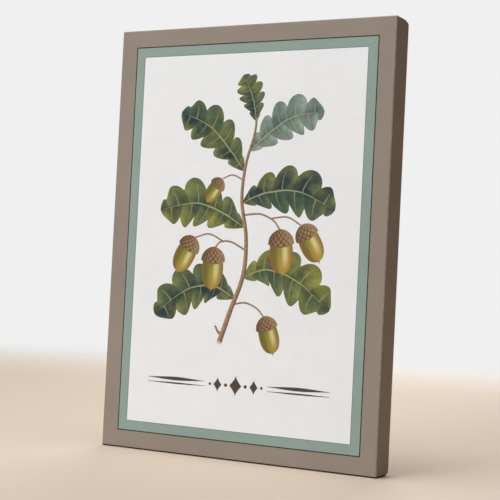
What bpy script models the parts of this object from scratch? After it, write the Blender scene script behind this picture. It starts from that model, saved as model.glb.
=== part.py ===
"""A stretched canvas print: cloth pulled over four pine stretcher bars and stapled behind.

The panel stands upright on its bottom edge. Its width runs along X, its picture faces -Y and
its height runs along +Z. The origin is under the middle of the whole piece, on the surface
that it stands on. Lengths are in metres.
"""

import math
import random

import bmesh
import bpy
from mathutils import Matrix

# Driving dimensions of the finished panel.
WIDTH = 0.500
HEIGHT = 0.700
DEPTH = 0.048

# Clearance between pieces that touch on the real thing.
GAP = 0.0003

# The cloth: its thickness, the fold-over on the back and the roundness of its edges.
CLOTH = 0.0006
FLAP = 0.026
EDGE_ROUND = 0.0022
EDGE_SEGMENTS = 3

# The corners get rounder over the last stretch towards the back, where the cloth is folded: how
# deep that stretch is, the cloth's corner radius behind, and what is sanded off the bars there.
CORNER_EASE = 0.016
BACK_CORNER_ROUND = 0.0070
BACK_CORNER_CUT = 0.0050
CORNER_SEGMENTS = 4

# The stretcher bars: a raised bead outside, then a face that slopes away from the cloth.
SKIN = CLOTH + GAP
BAR_WIDTH = 0.038
BAR_DEPTH = DEPTH - 2 * SKIN
BEAD_WIDTH = 0.006
BEAD_STEP = 0.0024
BEAD_DROP = 0.0028
FACE_DROP = 0.0044
BAR_CHAMFER = 0.0015

# The corner joint: each bar has one tongue, and one slot for its neighbour's tongue.
TONGUE_THICK = 0.0050
TONGUE_MARGIN = 0.005
LAYER_FRONT = 0.017
LAYER_BACK = 0.029
SLOT_ROOM = 0.0138

# The corner keys, small wedges that are tapped into the slots to tighten the cloth.
KEY_THICK = 0.0042
KEY_TIP = 0.005
KEY_TIP_INSET = 0.009
KEY_HEAD_OUT = 0.014
KEY_RELIEF = 0.0005

# The staples, of flat steel wire.
STAPLE_CROWN = 0.0110
STAPLE_LEG = 0.0070
STAPLE_WIRE_WIDE = 0.0012
STAPLE_WIRE_THICK = 0.0006
STAPLE_INSET = 0.017
STAPLE_TILT = math.radians(7)
STAPLES_ACROSS = 7
STAPLES_UP = 9
STAPLE_END_MARGIN = 0.058

# The sawtooth hanger on the top bar, with its two nails.
HANGER_LENGTH = 0.045
HANGER_HEIGHT = 0.0085
HANGER_PLATE = 0.0009
HANGER_RISE = 0.0014
HANGER_FOOT = 0.0085
HANGER_BEND = 0.0016
HANGER_TEETH = 9
HANGER_TOOTH = 0.0018
HANGER_BELOW_FLAP = 0.0012
NAIL_HEAD_RADIUS = 0.0018
NAIL_HEAD_THICK = 0.0007
NAIL_SHANK_RADIUS = 0.0006
NAIL_LENGTH = 0.0095
NAIL_POINT = 0.0015
NAIL_INSET = 0.0042
NAIL_SIDES = 14

# Levels along Y, from the picture side to the back.
HANGER_BACK = GAP + HANGER_RISE + HANGER_PLATE
OVERALL_DEPTH = DEPTH - SKIN + HANGER_BACK
FRONT_Y = -OVERALL_DEPTH / 2
BAR_FRONT_Y = FRONT_Y + SKIN
BAR_BACK_Y = BAR_FRONT_Y + BAR_DEPTH
MIDDLE_Z = HEIGHT / 2

# How far a cutter runs past what it cuts.
OVERRUN = 0.003
WELD = 0.000001

# The turn that stands an outline drawn in X and Y up in the picture's plane.
FACE_TURN = Matrix.Rotation(math.radians(90), 4, "X")

# Each bar: its name, whether it is a level one, and its turn about Y from the top bar's place.
BARS = (
    ("bar_top", True, 0),
    ("bar_right", False, 90),
    ("bar_bottom", True, 180),
    ("bar_left", False, 270),
)


def clear_scene():
    for item in list(bpy.data.objects):
        bpy.data.objects.remove(item)


def new_collection(name, parent=None):
    collection = bpy.data.collections.new(name)
    (parent or bpy.context.scene.collection).children.link(collection)
    return collection


def make_material(name, colour, roughness, metallic=0.0):
    material = bpy.data.materials.new(name)
    material.use_nodes = True
    shader = material.node_tree.nodes["Principled BSDF"]
    shader.inputs["Base Color"].default_value = (*colour, 1.0)
    shader.inputs["Roughness"].default_value = roughness
    shader.inputs["Metallic"].default_value = metallic
    return material


def outline_mesh(name, points, thickness, turn):
    """A closed outline as a filled 2D curve, extruded half its thickness each way, then turned."""
    curve = bpy.data.curves.new(name, "CURVE")
    curve.dimensions = "2D"
    curve.fill_mode = "BOTH"
    curve.extrude = thickness / 2
    spline = curve.splines.new("POLY")
    spline.points.add(len(points) - 1)
    spline.use_cyclic_u = True
    for point, (x, y) in zip(spline.points, points):
        point.co = (x, y, 0.0, 1.0)
    guide = bpy.data.objects.new(name, curve)
    bpy.context.scene.collection.objects.link(guide)
    depsgraph = bpy.context.evaluated_depsgraph_get()
    mesh = bpy.data.meshes.new_from_object(guide.evaluated_get(depsgraph))
    bpy.data.objects.remove(guide)
    bpy.data.curves.remove(curve)
    bm = bmesh.new()
    bm.from_mesh(mesh)
    bmesh.ops.remove_doubles(bm, verts=bm.verts, dist=WELD)
    bmesh.ops.recalc_face_normals(bm, faces=bm.faces)
    bm.to_mesh(mesh)
    bm.free()
    mesh.transform(turn)
    return mesh


def box_mesh(name, size, centre):
    mesh = bpy.data.meshes.new(name)
    bm = bmesh.new()
    bmesh.ops.create_cube(bm, size=1.0)
    bmesh.ops.scale(bm, vec=size, verts=bm.verts)
    bmesh.ops.translate(bm, vec=centre, verts=bm.verts)
    bm.to_mesh(mesh)
    bm.free()
    return mesh


def add_part(name, mesh, collection, material, place=None):
    part = bpy.data.objects.new(name, mesh)
    collection.objects.link(part)
    if not mesh.materials:
        mesh.materials.append(material)
    if place is not None:
        part.matrix_world = place
    return part


def add_cutter(name, mesh, collection, place=None):
    cutter = bpy.data.objects.new(name, mesh)
    collection.objects.link(cutter)
    cutter.hide_render = True
    cutter.display_type = "WIRE"
    if place is not None:
        cutter.matrix_world = place
    return cutter


def cut(part, cutters, name):
    modifier = part.modifiers.new(name, "BOOLEAN")
    modifier.operation = "DIFFERENCE"
    modifier.operand_type = "COLLECTION"
    modifier.collection = cutters
    modifier.solver = "EXACT"


def edge_place(turn_degrees):
    """From an edge's own frame into the panel's: X along the edge, Z out of the panel's middle,
    the edge's outer face at Z zero and the picture's plane at Y zero."""
    reach = HEIGHT / 2 if turn_degrees in (0, 180) else WIDTH / 2
    turn = Matrix.Rotation(math.radians(turn_degrees), 4, "Y")
    return Matrix.Translation((0, FRONT_Y, MIDDLE_Z)) @ turn @ Matrix.Translation((0, 0, reach))


def edge_length(is_level):
    return WIDTH if is_level else HEIGHT


def quarter_turn(segments):
    """Angles from zero to a right angle."""
    return [math.pi / 2 * step / segments for step in range(segments + 1)]


def wrap_section():
    """The wrapped cloth's outside, ring by ring: the distance in from the outer faces, the
    distance back from the picture's plane and the radius of the ring's corners."""
    rings = []
    for angle in quarter_turn(EDGE_SEGMENTS):
        out, ahead = math.sin(angle), math.cos(angle)
        rings.append((EDGE_ROUND * (1 - out), EDGE_ROUND * (1 - ahead), EDGE_ROUND * out))
    rings.append((0, DEPTH - CORNER_EASE, EDGE_ROUND))
    for angle in quarter_turn(EDGE_SEGMENTS):
        out, behind = math.cos(angle), math.sin(angle)
        inset, back = EDGE_ROUND * (1 - out), DEPTH - EDGE_ROUND * (1 - behind)
        rings.append((inset, back, BACK_CORNER_ROUND))
    return [*rings, (EDGE_ROUND + BACK_CORNER_ROUND, DEPTH, 0), (FLAP, DEPTH, 0)]


def ring_corners(inset, radius):
    """The ring as X and Z points, with an arc of points at each corner."""
    half_wide, half_high = WIDTH / 2 - inset - radius, HEIGHT / 2 - inset - radius
    for number, (across, up) in enumerate(((1, 1), (-1, 1), (-1, -1), (1, -1))):
        for step in quarter_turn(CORNER_SEGMENTS):
            angle = math.pi / 2 * number + step
            x = across * half_wide + radius * math.cos(angle)
            yield x, MIDDLE_Z + up * half_high + radius * math.sin(angle)


def make_canvas(collection, material):
    """A tray with an inward flap round its open back: rings joined from the picture over the
    rounded edges to the flap's end, thickened inward into a sheet."""
    mesh = bpy.data.meshes.new("canvas")
    bm = bmesh.new()
    rings = []
    for inset, back, radius in wrap_section():
        ring = [bm.verts.new((x, FRONT_Y + back, z)) for x, z in ring_corners(inset, radius)]
        rings.append(ring)
    for near, far in zip(rings, rings[1:]):
        for step in range(len(near)):
            bm.faces.new((near[step - 1], far[step - 1], far[step], near[step]))
    bm.faces.new(rings[0])
    bmesh.ops.remove_doubles(bm, verts=bm.verts, dist=WELD)
    bmesh.ops.recalc_face_normals(bm, faces=bm.faces)
    bm.to_mesh(mesh)
    bm.free()
    mesh.shade_smooth()
    canvas = add_part("canvas", mesh, collection, material)
    sheet = canvas.modifiers.new("sheet", "SOLIDIFY")
    sheet.thickness = CLOTH
    sheet.offset = -1.0
    sheet.use_even_offset = True
    return canvas


def bar_profile():
    """The bar's section: X runs in from the outer face and Y runs back from the bead."""
    return [
        (BAR_CHAMFER, 0),
        (BEAD_WIDTH, 0),
        (BEAD_WIDTH + BEAD_STEP, BEAD_DROP),
        (BAR_WIDTH, FACE_DROP),
        (BAR_WIDTH, BAR_DEPTH),
        (BAR_CHAMFER, BAR_DEPTH),
        (0, BAR_DEPTH - BAR_CHAMFER),
        (0, BAR_CHAMFER),
    ]


def bar_mesh(name, length):
    """The section, extruded along X, in an edge's own frame."""
    into_edge = Matrix.Rotation(math.radians(90), 4, "Y")
    return outline_mesh(name, bar_profile(), length, Matrix.Translation((0, SKIN, -SKIN)) @ into_edge)


def joint_outlines():
    """Cuts at one end of a bar, in distances from the outer end (X) and the outer face (Y)."""
    far = BAR_WIDTH + OVERRUN
    back_off = GAP / math.sqrt(2)
    mitre = [(-OVERRUN, -OVERRUN - back_off), (far, far - back_off), (-OVERRUN, far)]
    margin = TONGUE_MARGIN
    tongue_end = [
        (-OVERRUN, -OVERRUN - back_off),
        (margin, margin - back_off),
        (margin, far),
        (-OVERRUN, far),
    ]
    slot_side = TONGUE_MARGIN - GAP
    slot_end = BAR_WIDTH + SLOT_ROOM
    slot = [(-OVERRUN, slot_side), (slot_end, slot_side), (slot_end, far), (-OVERRUN, far)]
    return mitre, tongue_end, slot


def corner_cutter_mesh(name, side, outer_end):
    """A three-sided bar that cuts the frame's corner off, narrow in front and wide behind."""
    ease_from, behind = BAR_DEPTH - CORNER_EASE, BAR_DEPTH + OVERRUN
    growth = (BACK_CORNER_CUT - BAR_CHAMFER) / CORNER_EASE * (behind - ease_from)
    levels = (
        (-OVERRUN, BAR_CHAMFER),
        (ease_from, BAR_CHAMFER),
        (behind, BAR_CHAMFER + growth),
    )
    mesh = bpy.data.meshes.new(name)
    bm = bmesh.new()
    rings = []
    for back, cut_in in levels:
        leg = cut_in + OVERRUN
        spots = ((-OVERRUN, -OVERRUN), (leg, -OVERRUN), (-OVERRUN, leg))
        rings.append([bm.verts.new((side * (outer_end - x), back + SKIN, -y - SKIN)) for x, y in spots])
    for near, far in zip(rings, rings[1:]):
        for step in range(3):
            bm.faces.new((near[step - 1], far[step - 1], far[step], near[step]))
    bm.faces.new(rings[0])
    bm.faces.new(rings[-1])
    bmesh.ops.recalc_face_normals(bm, faces=bm.faces)
    bm.to_mesh(mesh)
    bm.free()
    return mesh


def joint_cutters(name, is_level, place, cutters):
    """The mitre in front of and behind the tongue, the tongue's end, the slot and the sanded
    corner of the frame, at both ends of a bar."""
    mitre, tongue_end, slot = joint_outlines()
    tongue_at = LAYER_FRONT if is_level else LAYER_BACK
    slot_at = LAYER_BACK if is_level else LAYER_FRONT
    tongue_low = tongue_at - TONGUE_THICK / 2
    tongue_high = tongue_at + TONGUE_THICK / 2
    slot_low = slot_at - TONGUE_THICK / 2 - GAP
    slot_high = slot_at + TONGUE_THICK / 2 + GAP
    before, behind = -OVERRUN, BAR_DEPTH + OVERRUN
    cuts = (
        ("mitre_front", mitre, before, tongue_low),
        ("mitre_back", mitre, tongue_high, behind),
        ("tongue_end", tongue_end, before, behind),
        ("slot", slot, slot_low, slot_high),
    )
    outer_end = edge_length(is_level) / 2 - SKIN
    for side in (-1, 1):
        end_name = "low" if side < 0 else "high"
        for kind, outline, low, high in cuts:
            points = [(side * (outer_end - x), -y - SKIN) for x, y in outline]
            cutter_name = f"{name}_{kind}_{end_name}"
            mesh = outline_mesh(cutter_name, points, high - low, FACE_TURN)
            mesh.transform(Matrix.Translation((0, SKIN + (low + high) / 2, 0)))
            add_cutter(cutter_name, mesh, cutters, place)
        corner_name = f"{name}_corner_{end_name}"
        add_cutter(corner_name, corner_cutter_mesh(corner_name, side, outer_end), cutters, place)


def make_bars(collection, material, cutter_root):
    bars = []
    for name, is_level, turn in BARS:
        place = edge_place(turn)
        mesh = bar_mesh(name, edge_length(is_level) - 2 * SKIN)
        bar = add_part(name, mesh, collection, material, place)
        joints = new_collection(f"{name}_cuts", cutter_root)
        joint_cutters(name, is_level, place, joints)
        cut(bar, joints, "corner_joints")
        bars.append(bar)
    return bars


def key_outline():
    """A wedge beside the neighbour's tongue: X from the frame's outer corner, along the wedge,
    and Y across the bar that holds it."""
    slot_end = BAR_WIDTH + SLOT_ROOM - GAP
    head = BAR_WIDTH + KEY_HEAD_OUT
    return [
        (KEY_TIP_INSET, slot_end - KEY_TIP),
        (head, BAR_WIDTH + KEY_RELIEF),
        (head, slot_end),
        (KEY_TIP_INSET, slot_end),
    ]


def make_keys(collection, material):
    """Two wedges at each corner: one lies level in the upright bar's slot, and one stands in the
    level bar's slot."""
    corners = (("top", 1), ("bottom", -1))
    sides = (("left", -1), ("right", 1))
    half_wide, half_high = WIDTH / 2 - SKIN, HEIGHT / 2 - SKIN
    for end_name, up in corners:
        for side_name, across in sides:
            for lies_level in (True, False):
                layer = LAYER_FRONT if lies_level else LAYER_BACK
                points = key_outline()
                if not lies_level:
                    points = [(y, x) for x, y in points]
                points = [(across * (half_wide - x), up * (half_high - y)) for x, y in points]
                name = f"key_{end_name}_{side_name}_{'level' if lies_level else 'upright'}"
                mesh = outline_mesh(name, points, KEY_THICK, FACE_TURN)
                add_part(
                    name,
                    mesh,
                    collection,
                    material,
                    Matrix.Translation((0, BAR_FRONT_Y + layer, MIDDLE_Z)),
                )


def staple_outline():
    """A wide U with its corners cut off: X along the crown, Y back from the cloth's surface."""
    half = STAPLE_CROWN / 2
    wire = STAPLE_WIRE_THICK
    crown = GAP + wire
    bend = wire * 0.6
    return [
        (-half + bend, crown),
        (-half, crown - bend),
        (-half, -STAPLE_LEG),
        (-half + wire, -STAPLE_LEG),
        (-half + wire, GAP),
        (half - wire, GAP),
        (half - wire, -STAPLE_LEG),
        (half, -STAPLE_LEG),
        (half, crown - bend),
        (half - bend, crown),
    ]


def staple_places():
    """Name and place of each staple: in a row along each edge, each a little askew."""
    draw = random.Random(4)
    for name, is_level, turn in BARS:
        count = STAPLES_ACROSS if is_level else STAPLES_UP
        reach = edge_length(is_level) / 2 - STAPLE_END_MARGIN
        for index in range(count):
            along = -reach + 2 * reach * index / (count - 1)
            tilt = draw.uniform(-STAPLE_TILT, STAPLE_TILT)
            spot = Matrix.Translation((along, DEPTH, -STAPLE_INSET))
            place = edge_place(turn) @ spot @ Matrix.Rotation(tilt, 4, "Y")
            yield f"staple_{name.removeprefix('bar_')}_{index + 1}", place


def make_staples(collection, material, holes):
    """Staples whose legs pass through the flap into the bar, and the holes for those legs."""
    wire = STAPLE_WIRE_WIDE
    staple = outline_mesh("staple", staple_outline(), wire, Matrix.Identity(4))
    hole_size = (STAPLE_WIRE_THICK + 2 * GAP, STAPLE_LEG + OVERRUN + GAP, wire + 2 * GAP)
    hole_y = (OVERRUN - STAPLE_LEG - GAP) / 2
    leg_x = (STAPLE_CROWN - STAPLE_WIRE_THICK) / 2
    for name, place in staple_places():
        add_part(name, staple, collection, material, place)
        for side in (-1, 1):
            hole = box_mesh(f"{name}_hole", hole_size, (side * leg_x, hole_y, 0))
            add_cutter(f"{name}_hole_{'low' if side < 0 else 'high'}", hole, holes, place)


def hanger_section():
    """The bent strip seen from below: flat feet on the bar and a raised middle."""
    half = HANGER_LENGTH / 2
    knee = half - HANGER_FOOT
    shoulder = knee - HANGER_BEND
    low, high = GAP, GAP + HANGER_RISE
    front = [(-half, low), (-knee, low), (-shoulder, high), (shoulder, high), (knee, low), (half, low)]
    back = [(x, y + HANGER_PLATE) for x, y in reversed(front)]
    return front + back


def hanger_face():
    """The strip seen from behind, with its row of teeth along the lower edge."""
    half = HANGER_LENGTH / 2 + OVERRUN
    knee = HANGER_LENGTH / 2 - HANGER_FOOT - HANGER_BEND
    pitch = 2 * knee / HANGER_TEETH
    points = [(-half, 0), (-half, HANGER_HEIGHT), (half, HANGER_HEIGHT), (half, 0)]
    for index in range(HANGER_TEETH):
        right = knee - pitch * index
        points += [(right, 0), (right - pitch / 2, HANGER_TOOTH)]
    points.append((-knee, 0))
    return points


def nail_mesh():
    """A round-headed nail: half its outline, turned about Z, with its head at the top."""
    mesh = bpy.data.meshes.new("nail")
    bm = bmesh.new()
    head, shank = NAIL_HEAD_RADIUS, NAIL_SHANK_RADIUS
    profile = (
        (0, NAIL_HEAD_THICK),
        (head * 0.7, NAIL_HEAD_THICK * 0.8),
        (head, NAIL_HEAD_THICK * 0.3),
        (head, 0),
        (shank, 0),
        (shank, NAIL_POINT - NAIL_LENGTH),
        (0, -NAIL_LENGTH),
    )
    verts = [bm.verts.new((x, 0, z)) for x, z in profile]
    for first, second in zip(verts, verts[1:]):
        bm.edges.new((first, second))
    bm.to_mesh(mesh)
    bm.free()
    return mesh


def make_hanger(collection, cutter_root, steel, top_z):
    """A strip bent in one outline and toothed in the other."""
    seat = Matrix.Translation((0, BAR_BACK_Y, top_z - HANGER_HEIGHT))
    strip = outline_mesh("sawtooth_hanger", hanger_section(), HANGER_HEIGHT + OVERRUN, Matrix.Identity(4))
    strip.transform(Matrix.Translation((0, 0, HANGER_HEIGHT / 2)))
    hanger = add_part("sawtooth_hanger", strip, collection, steel, seat)
    face = outline_mesh("hanger_face", hanger_face(), 4 * HANGER_BACK, FACE_TURN)
    teeth = hanger.modifiers.new("teeth", "BOOLEAN")
    teeth.operation = "INTERSECT"
    teeth.object = add_cutter("hanger_face", face, cutter_root, seat)
    teeth.solver = "EXACT"
    return hanger


def nail_hole_mesh():
    mesh = bpy.data.meshes.new("nail_hole")
    radius = NAIL_SHANK_RADIUS + GAP
    depth = NAIL_LENGTH + GAP + OVERRUN
    bm = bmesh.new()
    bmesh.ops.create_cone(
        bm, cap_ends=True, segments=NAIL_SIDES, radius1=radius, radius2=radius, depth=depth
    )
    bmesh.ops.translate(bm, vec=(0, 0, OVERRUN - depth / 2), verts=bm.verts)
    bm.to_mesh(mesh)
    bm.free()
    return mesh


def make_nails(collection, steel, hanger_z, nail_holes):
    """Two nails through the hanger's feet into the bar, and the holes for them."""
    under_head = GAP + HANGER_PLATE + GAP
    half, hole = nail_mesh(), nail_hole_mesh()
    for side_name, side in (("left", -1), ("right", 1)):
        spot_x = side * (HANGER_LENGTH / 2 - NAIL_INSET)
        spot = Matrix.Translation((spot_x, BAR_BACK_Y + under_head, hanger_z))
        place = spot @ Matrix.Rotation(math.radians(-90), 4, "X")
        nail = add_part(f"hanger_nail_{side_name}", half, collection, steel, place)
        turned = nail.modifiers.new("turned", "SCREW")
        turned.steps = NAIL_SIDES
        turned.render_steps = NAIL_SIDES
        turned.use_merge_vertices = True
        turned.merge_threshold = 0.00001
        add_cutter(f"nail_hole_{side_name}", hole, nail_holes, place)


def main():
    clear_scene()
    parts = new_collection("stretched_canvas")
    cutters = new_collection("cutters")
    staple_holes = new_collection("staple_holes", cutters)
    nail_holes = new_collection("nail_holes", cutters)
    cotton = make_material("cotton_canvas", (0.80, 0.79, 0.76), 0.85)
    pine = make_material("pine", (0.72, 0.53, 0.33), 0.6)
    beech = make_material("beech", (0.66, 0.46, 0.28), 0.6)
    wire = make_material("staple_wire", (0.62, 0.62, 0.63), 0.35, 1.0)
    zinc = make_material("zinc_plate", (0.60, 0.60, 0.58), 0.4, 1.0)

    hanger_top_z = HEIGHT - FLAP - HANGER_BELOW_FLAP
    hanger = make_hanger(parts, cutters, zinc, hanger_top_z)
    make_nails(parts, zinc, hanger_top_z - HANGER_HEIGHT / 2, nail_holes)
    cut(hanger, nail_holes, "nail_holes")
    make_staples(parts, wire, staple_holes)
    make_keys(parts, beech)
    bars = make_bars(parts, pine, cutters)
    for bar in bars:
        cut(bar, staple_holes, "staple_holes")
    cut(bars[0], nail_holes, "nail_holes")
    canvas = make_canvas(parts, cotton)
    cut(canvas, staple_holes, "staple_holes")
    canvas.modifiers.new("even_shading", "WEIGHTED_NORMAL")


main()
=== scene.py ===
# %% [markdown]
# This lesson dresses a stretched canvas print: cotton canvas with a printed picture, pulled over a
# deep pine frame, folded at its corners and stapled on the back. The wood and the metal already have
# their true shapes, so they only need good finishes. The cloth is made again here with its real
# folds, and the picture is printed on it as thin films of ink.

# %% Load the fixed frame
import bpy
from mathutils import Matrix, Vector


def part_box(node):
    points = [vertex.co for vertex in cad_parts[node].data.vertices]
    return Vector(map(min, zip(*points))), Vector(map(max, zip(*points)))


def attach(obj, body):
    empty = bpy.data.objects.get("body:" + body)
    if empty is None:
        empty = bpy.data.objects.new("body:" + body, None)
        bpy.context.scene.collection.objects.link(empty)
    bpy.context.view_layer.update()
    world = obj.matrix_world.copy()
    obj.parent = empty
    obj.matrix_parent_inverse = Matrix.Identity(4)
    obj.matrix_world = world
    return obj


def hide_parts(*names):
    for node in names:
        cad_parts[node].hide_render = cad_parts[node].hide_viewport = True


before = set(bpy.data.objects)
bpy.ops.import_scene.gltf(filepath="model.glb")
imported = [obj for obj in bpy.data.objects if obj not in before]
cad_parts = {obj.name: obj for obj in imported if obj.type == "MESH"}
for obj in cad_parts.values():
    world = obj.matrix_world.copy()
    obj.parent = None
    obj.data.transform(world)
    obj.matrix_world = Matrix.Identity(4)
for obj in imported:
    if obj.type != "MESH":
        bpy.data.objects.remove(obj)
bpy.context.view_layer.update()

import math
from fnmatch import fnmatch
from types import SimpleNamespace

import bmesh
import bpy
import numpy as np
from mathutils import Matrix, Vector
from mathutils.geometry import delaunay_2d_cdt

MM = 0.001
cloth_low, cloth_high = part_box("canvas")
WIDTH = cloth_high.x - cloth_low.x
HEIGHT = cloth_high.z - cloth_low.z
FRONT = cloth_low.y
BACK = cloth_high.y
print(f"canvas {WIDTH:.3f} x {HEIGHT:.3f} m, front at y {FRONT:.5f}, flap at y {BACK:.5f}")

# %% [markdown]
# The camera stands to the right of the print, low and far away, with a long lens, so the upright
# edges stay nearly parallel. A camera could be aimed with a Track To constraint. Here it is turned
# by three plain angles, because a small roll is part of the view and a constraint would remove it.

# %% Place the camera
EYE = Vector((1.0100, -1.8388, 0.2768))
HEADING = math.radians(28.73)
TILT = math.radians(1.65)
ROLL = math.radians(2.85)
VIEW_ANGLE = math.radians(21.77)

camera_data = bpy.data.cameras.new("studio_camera")
camera_data.sensor_fit = "HORIZONTAL"
camera_data.angle = VIEW_ANGLE
camera = bpy.data.objects.new("studio_camera", camera_data)
bpy.context.scene.collection.objects.link(camera)
turn = Matrix.Rotation(HEADING, 4, "Z")
turn = turn @ Matrix.Rotation(math.pi / 2 + TILT, 4, "X")
turn = turn @ Matrix.Rotation(ROLL, 4, "Z")
camera.matrix_world = Matrix.Translation(EYE) @ turn
bpy.context.scene.camera = camera
print("camera looks along", [round(part, 3) for part in turn.to_3x3() @ Vector((0, 0, -1))])

# %% [markdown]
# Finishes are built from nodes, and the same few steps come up in each one: add a node, fill its
# inputs and join it to the last. The first helper does all of that in one call. An input can be a
# number, a colour or another node's output, which it then links. The other helpers aren't told
# which node tree they work in, because an output knows its own.

# %% Join nodes
def add(tree, kind, inputs=None, **settings):
    """One shader node with its inputs filled or linked. Returns the node."""
    node = tree.nodes.new("ShaderNode" + kind)
    for name, value in settings.items():
        setattr(node, name, value)
    for name, value in (inputs or {}).items():
        if isinstance(value, bpy.types.NodeSocket):
            tree.links.new(value, node.inputs[name])
        else:
            node.inputs[name].default_value = value
    return node


def tree_of(*values):
    """The node tree of the first output among some values."""
    return next(value.id_data for value in values if isinstance(value, bpy.types.NodeSocket))


def maths(operation, first, second=0.0, third=0.0, clamp=False):
    """The result of one Math node."""
    inputs = {0: first, 1: second, 2: third}
    settings = {"operation": operation, "use_clamp": clamp}
    return add(tree_of(first, second, third), "Math", inputs, **settings).outputs[0]


def plus(first, second):
    """The sum of two values."""
    return maths("ADD", first, second)


def minus(first, second):
    """The first value less the second."""
    return maths("SUBTRACT", first, second)


def times(first, second):
    """The product of two values."""
    return maths("MULTIPLY", first, second)


def ramp(value, low, high, start=0.0, end=1.0, smooth=True):
    """A level led from start to end while the value goes from low to high."""
    kind = "SMOOTHSTEP" if smooth else "LINEAR"
    inputs = {"Value": value, "From Min": low, "From Max": high, "To Min": start, "To Max": end}
    return add(value.id_data, "MapRange", inputs, interpolation_type=kind).outputs[0]


print("node helpers:", [helper.__name__ for helper in (add, maths, plus, minus, times, ramp)])

# %% [markdown]
# Colours are written as they look on a screen and turned into the linear values that shaders use.
# Patterns could come from pictures, but noise never repeats and stays sharp close up. It needs a
# place to start from: an object's own coordinates for solid things like wood, and the flat cloth's
# map for whatever lies on the cloth.

# %% Mix colours and patterns
CLOTH_MAP = "cloth"


def ink(red, green, blue):
    """A colour given as on a screen, from 0 to 255, in linear values."""
    linear = []
    for level in (red, green, blue):
        share = level / 255
        linear.append(share / 12.92 if share <= 0.04045 else ((share + 0.055) / 1.055) ** 2.4)
    return (*linear, 1.0)


def blend(factor, first, second, mode="MIX"):
    """A colour mixed from two others."""
    inputs = {0: factor, 6: first, 7: second}
    settings = {"data_type": "RGBA", "blend_type": mode}
    return add(tree_of(factor, first, second), "Mix", inputs, **settings).outputs[2]


def shaded(colour, *levels):
    """A colour made lighter or darker by each of some levels in turn."""
    for level in levels:
        colour = blend(1.0, colour, level, "MULTIPLY")
    return colour


def object_place(tree):
    """Each point's place in the object's own coordinates."""
    return add(tree, "TexCoord").outputs["Object"]


def cloth_place(tree):
    """Each point's place on the flat cloth."""
    return add(tree, "UVMap", uv_map=CLOTH_MAP).outputs[0]


def stretched(place, scale):
    """A place scaled by its own number on each axis."""
    return add(place.id_data, "Mapping", {"Vector": place, "Scale": scale}).outputs[0]


def noise(place, scale, detail=2.0, roughness=0.5):
    """Soft noise between 0 and 1."""
    inputs = {"Vector": place, "Scale": scale, "Detail": detail, "Roughness": roughness}
    return add(place.id_data, "TexNoise", inputs).outputs["Fac"]


def mottle(place, scale, low, high, detail=4.0, roughness=0.5):
    """A level that wanders between low and high in soft patches."""
    return ramp(noise(place, scale, detail, roughness), 0.3, 0.7, low, high)


def cells(place, scale, feature="F1"):
    """Distance from the middle of the nearest random cell, or from its edge."""
    inputs = {"Vector": place, "Scale": scale}
    return add(place.id_data, "TexVoronoi", inputs, feature=feature).outputs["Distance"]


print("mid grey", ink(128, 128, 128), "in linear values")

# %% [markdown]
# Every finish of the print is one Principled shader with a worked-out colour and a relief. True
# displacement would need millions of faces to show a thread or a pore. A Bump node bends the light
# as those would, and the outline of a smooth board doesn't miss them.

# %% Start a finish
def new_finish(name, roughness, specular=0.3, metallic=0.0):
    """A material with one Principled shader. Returns the material, its tree and the shader."""
    finish = bpy.data.materials.new(name)
    finish.use_nodes = True
    shader = finish.node_tree.nodes["Principled BSDF"]
    shader.inputs["Roughness"].default_value = roughness
    shader.inputs["Specular IOR Level"].default_value = specular
    shader.inputs["Metallic"].default_value = metallic
    return finish, finish.node_tree, shader


def dress(shader, colour, height, strength, deep):
    """Gives a shader its colour and the relief of a height, so many metres deep."""
    inputs = {"Height": height, "Strength": strength, "Distance": deep}
    relief = add(shader.id_data, "Bump", inputs).outputs[0]
    shader.id_data.links.new(colour, shader.inputs["Base Color"])
    shader.id_data.links.new(relief, shader.inputs["Normal"])


print("finishes start as", bpy.types.ShaderNodeBsdfPrincipled.bl_rna.name)

# %% [markdown]
# The studio is a pale floor under soft light. The floor could be a curved backdrop, but that would
# hide the print from behind. A wide disc that fades out at its rim works from every side: near the
# print it catches the shadow, and further out it turns clear and leaves only the pale background.

# %% Set up the floor and the background
FLOOR_RADIUS = 6.0
FLOOR_SOLID = 1.5
FLOOR_GONE = 3.6
FLOOR_COLOUR = ink(214, 197, 180)
BACKDROP_COLOUR = ink(240, 240, 240)
AMBIENT_COLOUR = ink(255, 232, 208)
AMBIENT_STRENGTH = 0.14

bpy.ops.mesh.primitive_circle_add(vertices=96, radius=FLOOR_RADIUS, fill_type="NGON")
floor = bpy.context.object
floor.name = "studio_floor"
floor_finish, tree, shader = new_finish("pale_floor", 0.8)
shader.inputs["Base Color"].default_value = FLOOR_COLOUR
away = add(tree, "VectorMath", {0: object_place(tree)}, operation="LENGTH").outputs["Value"]
clear = add(tree, "BsdfTransparent").outputs[0]
gone = ramp(away, FLOOR_SOLID, FLOOR_GONE)
faded = add(tree, "MixShader", {0: gone, 1: shader.outputs[0], 2: clear}).outputs[0]
tree.links.new(faded, tree.nodes["Material Output"].inputs["Surface"])
floor.data.materials.append(floor_finish)

world = bpy.data.worlds.new("studio_air")
bpy.context.scene.world = world
world.use_nodes = True
tree = world.node_tree
tree.nodes.clear()
lit = add(tree, "Background", {"Color": AMBIENT_COLOUR, "Strength": AMBIENT_STRENGTH})
seen = add(tree, "Background", {"Color": BACKDROP_COLOUR, "Strength": 1.0})
straight = add(tree, "LightPath").outputs["Is Camera Ray"]
both = add(tree, "MixShader", {0: straight, 1: lit.outputs[0], 2: seen.outputs[0]})
add(tree, "OutputWorld", {"Surface": both.outputs[0]})
bpy.context.scene.view_settings.view_transform = "Standard"
print(f"floor solid to {FLOOR_SOLID} m and gone by {FLOOR_GONE} m")

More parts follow.
